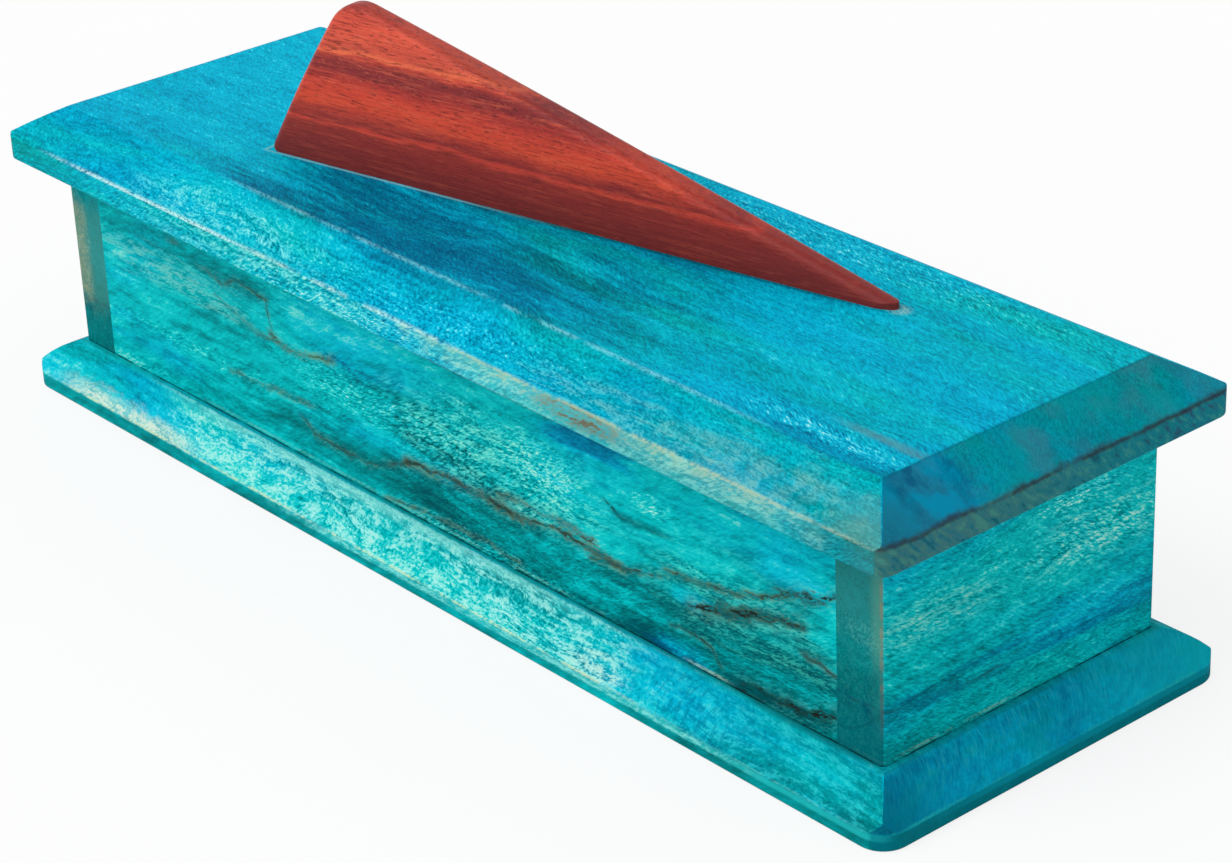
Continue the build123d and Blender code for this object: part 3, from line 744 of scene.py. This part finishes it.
def base_material():
    wood = DyedWood(
        "dyed_base", "X", seed=13, tone=0.57, blue=0.45, contrast=0.8, grit=0.5, end_limits=(0.28, 0.46)
    )
    x, y, z = wood.x, wood.y, wood.z
    foot = base_edge_top
    above_edge = wood.rise(z, foot - 0.1, foot + 0.4)
    on_edge = wood.rise(z, foot + 0.1, foot - 0.3)
    bevel = wood.product(above_edge, wood.rise(wood.facing[1], -0.25, -0.45))
    wood.tone_at(bevel, 0.03)
    wood.tone_at(wood.product(bevel, wood.rise(x, -56, -80)), 0.04)
    wood.blue_at(wood.product(bevel, wood.rise(x, 50, 60)), -0.2)
    wood.pale(wood.product(bevel, wood.between(x, -66, 48, 12)), 0.08, 0.5)
    wood.pale(wood.product(bevel, wood.patch((12, -34.5, 4), (44, 2.6, 3))), 0.06, 0.5)
    wood.blue_at(wood.product(bevel, wood.between(x, -66, 50, 14)), -0.4)
    wood.tone_at(wood.product(bevel, wood.rise(x, 56, 90)), -0.03)
    wood.blue_at(wood.product(bevel, wood.between(x, 52, 74, 6)), 0.15)
    wood.tone_at(wood.product(bevel, wood.rise(x, 92, 102)), -0.16)
    wood.tone_at(on_edge, -0.17)
    wood.grit_at(on_edge, -0.4)
    wood.blue_at(on_edge, -1.0)
    wood.tone_at(wood.end, -0.12)
    wood.grit_at(wood.end, -0.3)
    wood.blue_at(wood.end, 0.3)
    wood.tone_at(wood.product(wood.end, wood.rise(y, -10, -30)), -0.08)
    wood.dye()
    # Pale mottling along the middle of the front bevel, and cream where it is worn at the left
    middle = wood.product(bevel, wood.between(wood.add(x, wood.swing(wood.breaks, 30.0)), -60, 50, 10))
    wood.dapple(middle, srgb(118, 228, 222), 0.74, 0.5)
    wood.dapple(middle, srgb(190, 238, 228), 0.45, 0.58)
    right_part = wood.product(bevel, wood.between(x, 56, 106, 8))
    wood.dapple(right_part, srgb(60, 202, 206), 0.35, 0.55)
    rim_height = wood.add(z, wood.add(wood.swing(wood.mottle, 3.0), wood.swing(wood.streak, 2.0)))
    rim = wood.product(bevel, wood.rise(rim_height, 5.6, 3.7), wood.between(x, -94, -60, 8))
    wood.paint(wood.product(rim, 0.5), srgb(158, 218, 204))
    wood.dapple(rim, srgb(220, 232, 212), 0.85, 0.42)
    spot = wood.product(bevel, wood.patch((47, -34, 4.2), (4.4, 1.7, 1.8), 1.2))
    wood.dapple(spot, srgb(200, 238, 222), 0.65, 0.46)
    # Pale lines along the base's top edge beside the walls: painted highlight, and partly wear
    at_top = wood.rise(z, base_high.z - 1.0, base_high.z - 0.5)
    painted_top_highlight = wood.product(bevel, wood.between(x, -62, 30, 14), wood.rise(y, -31.0, -29.2))
    wood.paint(wood.product(painted_top_highlight, wood.rise(wood.streak, 0.36, 0.5), 0.5), srgb(150, 226, 216))
    middle_line = wood.product(at_top, wood.between(x, -72, 46, 9))
    wood.wear_and_highlight_line(y, -end_high.y - 1.0, 1.0, middle_line, srgb(150, 238, 232), 0.7, 0.36)
    right_line = wood.product(at_top, wood.between(x, 34, 90, 5))
    wood.wear_and_highlight_line(y, -end_high.y - 0.6, 0.5, right_line, srgb(150, 220, 206), 0.3, 0.46)
    curls = wood.noise(wood.place, (0.9, 2.2, 2.2), 3.0, 0.6, 52)
    where = wood.product(bevel, wood.patch((64, -32, 5), (13, 4.5, 4)))
    wood.paint(wood.product(where, wood.rise(curls, 0.5, 0.4), 0.6), srgb(0, 128, 158))
    # Bright lines along the foot of the front bevel, partly wear and partly painted highlight
    front = wood.rise(y, base_low.y + 3.0, base_low.y + 1.0)
    cream_line = wood.product(front, wood.between(x, -98, 55, 10))
    wood.wear_and_highlight_line(z, foot + 0.15, 0.7, cream_line, srgb(206, 222, 176), 0.85)
    green_line = wood.product(front, wood.between(x, 55, 104, 6))
    wood.wear_and_highlight_line(z, foot + 0.1, 0.5, green_line, srgb(96, 190, 170), 0.5)
    upper_edge = wood.product(on_edge, wood.rise(z, foot - 1.3, foot - 0.8))
    front_edge = wood.product(front, upper_edge)
    wood.paint(wood.product(front_edge, wood.rise(x, -40, -16), 0.65), srgb(36, 196, 198))
    wood.dapple(wood.product(front_edge, wood.between(x, -30, 76, 10)), srgb(150, 238, 230), 0.6, 0.46)
    # The ends are hatched by the saw, at a slant
    lean = wood.minus(y, z)
    hatch = wood.noise(wood.join(wood.add(y, z), lean, x), (3.0, 0.42, 3.0), 3.0, 0.6, 53)
    sloped = wood.product(wood.end, above_edge)
    patchy = wood.noise(wood.place, (5.0, 9.0, 4.0), 3.0, 0.6, 57)
    sawn = wood.scale(wood.rise(z, foot + 1.5, base_high.z - 0.5), 0.5, 0.4)
    wood.paint(wood.product(sloped, wood.rise(patchy, 0.48, 0.64), 0.5), srgb(0, 144, 150))
    wood.paint(wood.product(sloped, wood.rise(patchy, 0.48, 0.36), 0.4), srgb(0, 104, 148))
    wood.paint(wood.product(sloped, wood.rise(hatch, 0.5, 0.66), sawn, 0.6), srgb(36, 166, 180))
    wood.paint(wood.product(sloped, wood.rise(hatch, 0.48, 0.34), sawn, 0.6), srgb(0, 100, 134))
    wood.paint(wood.product(sloped, wood.rise(y, -18, -34), 0.65), srgb(0, 92, 116))
    wood.paint(wood.product(sloped, wood.rise(y, 2, 26), 0.45), srgb(12, 178, 186))
    # The narrow ledge outside the walls: painted shade beside the front wall, paler painted light over all
    # of it, and darker towards its right end
    from_walls = wood.math(
        "MAXIMUM",
        wood.minus(wood.absolute(x), end_high.x),
        wood.minus(wood.absolute(y), end_high.y),
    )
    ledge = wood.rise(z, base_high.z - 0.25, base_high.z - 0.05)
    ledge = wood.product(wood.rise(from_walls, -0.1, 0.1), ledge)
    in_front = wood.rise(y, -end_high.y + 0.5, -end_high.y)
    painted_ledge_shade = wood.product(ledge, wood.rise(from_walls, 0.6, 0.2), in_front)
    wood.paint(wood.product(painted_ledge_shade, wood.rise(x, -64, -6), 0.6), srgb(8, 116, 108))
    wood.paint(wood.product(ledge, 0.25), srgb(30, 170, 164))
    wood.paint(wood.product(ledge, wood.between(x, 74, 99, 6), 0.5), srgb(0, 96, 104))
    at_right = wood.product(wood.rise(y, 14, 2), wood.rise(x, end_high.x - 0.4, end_high.x))
    wood.paint(wood.product(ledge, at_right, 0.3), srgb(0, 88, 104))
    # A bright line along the foot of the end bevels, partly wear and partly painted highlight
    side = wood.rise(wood.absolute(x), base_high.x - 3.0, base_high.x - 1.0)
    wood.wear_and_highlight_line(z, foot + 0.15, 0.7, side, srgb(40, 176, 160), 0.5)
    wood.paint(wood.product(wood.end, on_edge, 0.6), srgb(0, 112, 130))
    wood.paint(wood.product(wood.end, upper_edge, wood.rise(y, -30, -10), 0.6), srgb(2, 148, 168))
    return wood.done()


def panel_material():
    wood = DyedWood("bare_maple", "X", seed=17, tone=0.55, blue=0.0, contrast=1.0, grit=0.7)
    wood.dye(MAPLE, MAPLE)
    return wood.done(0.04, 0.6)


def handle_axes(graph):
    """Distance along the handle from the middle of its blunt foot, and across it."""
    from_foot_x = graph.minus(graph.x, handle_foot[0])
    from_foot_y = graph.minus(graph.y, handle_foot[1])
    turn_x, turn_y = cos(handle_angle), sin(handle_angle)
    along = graph.add(graph.product(from_foot_x, turn_x), graph.product(from_foot_y, turn_y))
    across = graph.minus(graph.product(from_foot_y, turn_x), graph.product(from_foot_x, turn_y))
    return along, across


def handle_material():
    """Red hardwood in level bands along the handle, dark and maroon low down, finely pored."""
    wood = Graph("red_hardwood")
    along, across = handle_axes(wood)
    height = wood.minus(wood.z, handle_foot_z)
    grain = wood.join(along, across, height)
    sway = wood.swing(wood.noise(grain, (46, 20, 20), 1.0, 0.4, 60), 4.0)
    ruffle = wood.swing(wood.noise(grain, (9, 3, 1.6), 3.0, 0.6, 61), 3.0)
    level = wood.add(height, wood.add(sway, ruffle))
    colour = wood.ramp(wood.math("DIVIDE", level, handle_height), HANDLE_BANDS)
    fine = wood.noise(grain, (16, 1.2, 0.5), 4.0, 0.65, 62)
    pores = wood.noise(grain, (2.4, 0.3, 0.26), 2.0, 0.6, 63)
    hairs = wood.noise(grain, (5, 0.8, 0.4), 3.0, 0.7, 64)
    specks = wood.noise(grain, (0.9, 0.5, 0.5), 2.0, 0.7, 65)
    upper = wood.rise(height, 3.0, 17.0)
    more = wood.scale(upper, 0.35, 0.2)
    # Painted shade: the handle's upward-facing crest is darkened, offsetting the light it gets from above
    painted_crest_shade = wood.rise(wood.facing[2], 0.5, 0.9)
    marks = (
        (wood.product(wood.rise(fine, 0.5, 0.68), more, 0.8), srgb(230, 100, 70)),
        (wood.product(wood.rise(fine, 0.48, 0.34), more, 0.9), srgb(112, 34, 38)),
        (wood.product(wood.rise(hairs, 0.54, 0.7), more, 0.5), srgb(236, 124, 94)),
        (wood.product(wood.rise(hairs, 0.44, 0.3), more, 0.7), srgb(92, 30, 34)),
        (wood.product(wood.rise(pores, 0.45, 0.33), wood.add(more, 0.1)), srgb(84, 28, 28)),
        (wood.product(wood.rise(specks, 0.58, 0.72), upper, 0.25), srgb(222, 120, 98)),
        (wood.product(wood.rise(specks, 0.42, 0.3), 0.35), srgb(84, 30, 32)),
        (wood.product(painted_crest_shade, 0.4), srgb(118, 34, 32)),
    )
    for share, tint in marks:
        colour = wood.mix(share, colour, tint)
    wood.shader.inputs["Specular IOR Level"].default_value = HANDLE_SPECULAR
    roughness = wood.scale(fine, 0.2, 0.32)
    return wood.finish(colour, roughness, wood.add(pores, fine), 0.04)


def brass_material():
    metal = Graph("brass")
    scratch = metal.noise(metal.place, (0.2, 1.6, 1.6), 3.0, 0.6, 70)
    tarnish = metal.noise(metal.place, (1.4, 1.4, 1.4), 3.0, 0.6, 71)
    colour = metal.mix(metal.rise(tarnish, 0.4, 0.7), srgb(214, 178, 96), srgb(152, 116, 58))
    metal.shader.inputs["Metallic"].default_value = 1.0
    return metal.finish(colour, metal.scale(scratch, 0.3, 0.2), scratch, 0.01)


# Materials on the CAD nodes, whose shapes stay as they are
materials = {
    "base_board": base_material(),
    "front_wall": front_wall_material(),
    "back_wall": back_wall_material(),
    "left_end_wall": end_wall_material("dyed_left_end", 21, True),
    "right_end_wall": end_wall_material("dyed_right_end", 25, False),
    "lid_board": lid_material(),
    "lid_locating_panel": panel_material(),
    "handle": handle_material(),
    "handle_screws": brass_material(),
}
for name, material in materials.items():
    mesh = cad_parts[name].data
    mesh.materials.clear()
    mesh.materials.append(material)

# Camera, as fitted to the photograph's edges
camera_azimuth = radians(50.1957)
camera_elevation = radians(26.5139)
camera_roll = radians(-2.48024)
camera_place = Vector((390.122, -315.087, 264.847)) * MM
camera_lens = 101.23
back = Vector((
    sin(camera_azimuth) * cos(camera_elevation),
    -cos(camera_azimuth) * cos(camera_elevation),
    sin(camera_elevation),
))
level = Vector((cos(camera_azimuth), sin(camera_azimuth), 0))
upward = back.cross(level)
right = cos(camera_roll) * level + sin(camera_roll) * upward
upright = cos(camera_roll) * upward - sin(camera_roll) * level
camera = bpy.data.objects.new("camera", bpy.data.cameras.new("camera"))
camera.data.sensor_width = 36.0
camera.data.sensor_fit = "HORIZONTAL"
camera.data.lens = camera_lens
camera.data.clip_start = 0.01
camera.data.clip_end = 20.0
turn = Matrix((right, upright, back)).transposed().to_4x4()
camera.matrix_world = Matrix.Translation(camera_place) @ turn
bpy.context.scene.collection.objects.link(camera)
bpy.context.scene.camera = camera

# Plain pale floor: it keeps the shadow, and the camera sees it lightened by a plain white
floor_half = 3.0
floor_white = 0.96
floor_lift = 0.8
floor_mesh = bpy.data.meshes.new("floor")
floor_corners = [(x * floor_half, y * floor_half, 0.0) for x, y in ((-1, -1), (1, -1), (1, 1), (-1, 1))]
floor_mesh.from_pydata(floor_corners, [], [(0, 1, 2, 3)])
floor = bpy.data.objects.new("floor", floor_mesh)
bpy.context.scene.collection.objects.link(floor)
floor_material = bpy.data.materials.new("floor")
floor_material.use_nodes = True
nodes, links = floor_material.node_tree.nodes, floor_material.node_tree.links
floor_shader = nodes["Principled BSDF"]
floor_shader.inputs["Base Color"].default_value = (floor_white, floor_white, floor_white, 1)
floor_shader.inputs["Roughness"].default_value = 0.9
floor_shader.inputs["Specular IOR Level"].default_value = 0.0
seen = nodes.new("ShaderNodeLightPath")
share = nodes.new("ShaderNodeMath")
share.operation = "MULTIPLY"
share.inputs[1].default_value = floor_lift
links.new(seen.outputs["Is Camera Ray"], share.inputs[0])
white = nodes.new("ShaderNodeEmission")
blend = nodes.new("ShaderNodeMixShader")
links.new(share.outputs[0], blend.inputs[0])
links.new(floor_shader.outputs[0], blend.inputs[1])
links.new(white.outputs[0], blend.inputs[2])
links.new(blend.outputs[0], nodes["Material Output"].inputs["Surface"])
floor_mesh.materials.append(floor_material)

# Soft light from all round, and a broad lamp above the front
sky_strength = 0.62
lamp_strength = 1.4
lamp_spread = radians(50)
lamp_direction = Vector((0.1, 0.7, -0.9))
world = bpy.data.worlds.new("world")
world.use_nodes = True
nodes, links = world.node_tree.nodes, world.node_tree.links
background = nodes["Background"]
background.inputs["Color"].default_value = (1, 1, 1, 1)
path = nodes.new("ShaderNodeLightPath")
plain = nodes.new("ShaderNodeMath")
plain.operation = "MAXIMUM"
links.new(path.outputs["Is Camera Ray"], plain.inputs[0])
links.new(path.outputs["Is Glossy Ray"], plain.inputs[1])
strength = nodes.new("ShaderNodeMapRange")
strength.inputs["To Min"].default_value = sky_strength
strength.inputs["To Max"].default_value = 1.0
links.new(plain.outputs[0], strength.inputs["Value"])
links.new(strength.outputs[0], background.inputs["Strength"])
bpy.context.scene.world = world

lamp = bpy.data.objects.new("lamp", bpy.data.lights.new("lamp", "SUN"))
lamp.data.energy = lamp_strength
lamp.data.angle = lamp_spread
lamp.rotation_euler = lamp_direction.to_track_quat("-Z", "Y").to_euler()
bpy.context.scene.collection.objects.link(lamp)

bpy.context.scene.view_settings.view_transform = "Standard"
